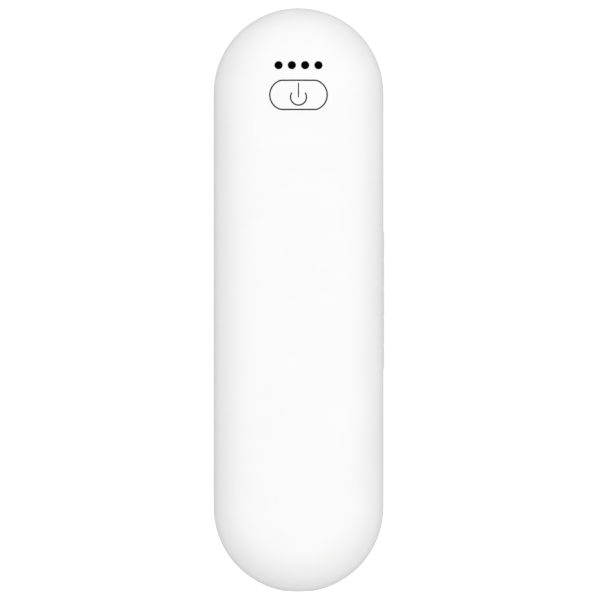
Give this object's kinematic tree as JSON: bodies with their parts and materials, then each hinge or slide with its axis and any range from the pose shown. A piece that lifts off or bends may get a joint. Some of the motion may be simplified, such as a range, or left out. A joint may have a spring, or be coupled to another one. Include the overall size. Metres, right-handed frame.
{
  "type": "toothbrush sanitizer",
  "caption": "Pill-shaped travel case that hinges open along one side and disinfects toothbrushes with UV-C lamps in its lid, with an oval power button and indicator dots.",
  "frame": {"origin": "centre of the flat back, which the case lies on", "axes": "+Y along the case towards the button end, +Z out of the front face with the button, +X towards the hinge"},
  "size_m": [0.0625, 0.213, 0.036],
  "materials": {
    "case_white": "satin",
    "liner_white": "smooth",
    "icon_dark": "satin",
    "seal_dark": "matt",
    "smoked": "polished",
    "black_plastic": "moulded",
    "plunger_red": "moulded",
    "silicone": "matt",
    "screw_steel": "plated",
    "pin_steel": "ground",
    "port_steel": "drawn",
    "magnet_nickel": "plated",
    "reflector": "bright rolled",
    "quartz": "polished",
    "ceramic": "fired",
    "small_ceramic": "fired",
    "board_green": "solder mask",
    "pouch": "laminate",
    "tape": "foam",
    "connector_white": "moulded",
    "lead_red": "insulation",
    "lead_black": "insulation"
  },
  "bodies": {
    "base": {"back_cover": "case_white", "brush_tray": "liner_white", "tray_screws": "screw_steel", "floor_reflector": "reflector", "neck_rest": "silicone", "handle_rest": "silicone", "base_magnets": "magnet_nickel", "sense_magnet": "magnet_nickel", "hinge_pin": "pin_steel"},
    "lid": {"front_cover": "case_white", "lamp_panel": "liner_white", "panel_screws": "screw_steel", "lid_magnets": "magnet_nickel", "uv_window": "quartz", "ceiling_reflector": "reflector", "lamp_reflector": "reflector", "uv_lamps": "ceramic", "main_board": "board_green", "board_screws": "screw_steel", "control_chip": "black_plastic", "charge_chip": "black_plastic", "boost_coil": "black_plastic", "small_components": "small_ceramic", "lid_sensor": "black_plastic", "board_sockets": "connector_white", "switch_body": "black_plastic", "indicator_leds": "ceramic", "light_baffle": "black_plastic", "light_guide": "smoked", "button_ring": "seal_dark", "battery_cell": "pouch", "battery_tape": "tape", "battery_plug": "connector_white", "battery_lead_red": "lead_red", "battery_lead_black": "lead_black", "port_board": "board_green", "port_screws": "screw_steel", "charging_port": "port_steel", "port_tongue": "black_plastic", "charge_plug": "connector_white", "charge_lead_red": "lead_red", "charge_lead_black": "lead_black"},
    "button": {"power_button": "case_white", "power_icon": "icon_dark", "switch_plunger": "plunger_red"}
  },
  "joints": [
    {"name": "lid_hinge", "type": "hinge", "parent": "base", "child": "lid", "pos_m": [0.0298, -0.001, 0.018], "axis": [0, 1, 0], "range_deg": [0, 100]},
    {"name": "button_press", "type": "slide", "parent": "lid", "child": "button", "axis": [0, 0, -1], "range_m": [0, 0.0005], "stiffness_N_per_m": 800, "springref_m": -0.001}
  ]
}
